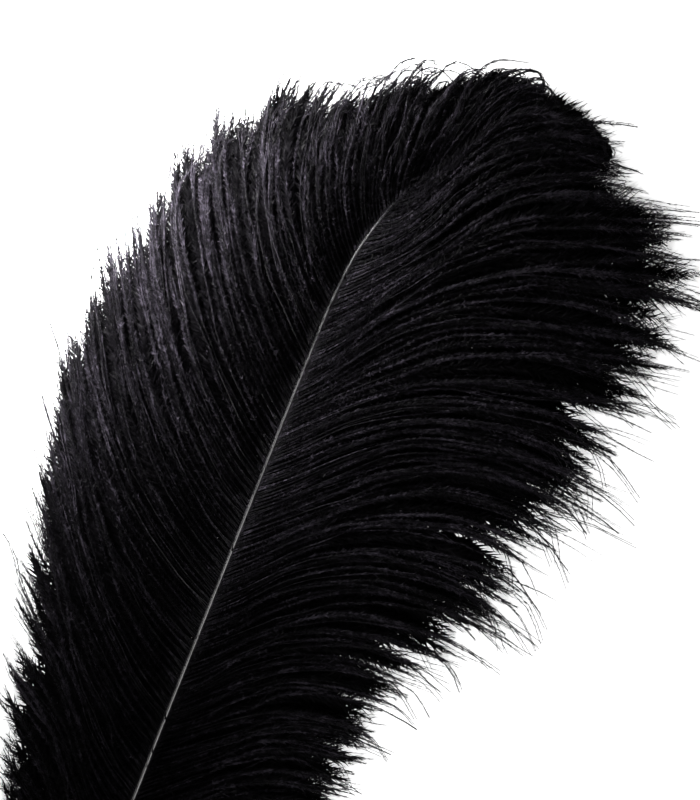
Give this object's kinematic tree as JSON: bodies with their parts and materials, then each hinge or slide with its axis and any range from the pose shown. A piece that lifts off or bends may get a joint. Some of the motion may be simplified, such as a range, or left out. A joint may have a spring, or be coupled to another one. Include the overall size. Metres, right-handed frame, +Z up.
{
  "type": "ostrich feather",
  "caption": "Black ostrich plume with a thin arching shaft and long soft drooping barbs, lying on its underside.",
  "frame": {"origin": "on the surface that the feather lies on, under the middle of its outline", "axes": "+Y along the shaft from the quill to the tip, +X towards the side that the tip arcs to, +Z up from the surface out of the feather's outer side"},
  "size_m": [0.295, 0.5782, 0.044],
  "materials": {
    "horn": "smooth grey horn with a soft gloss",
    "barbs": "soft black down with a faint silky sheen"
  },
  "bodies": {
    "root": {"shaft": "horn", "left_vane": "barbs", "right_vane": "barbs"}
  },
  "joints": []
}
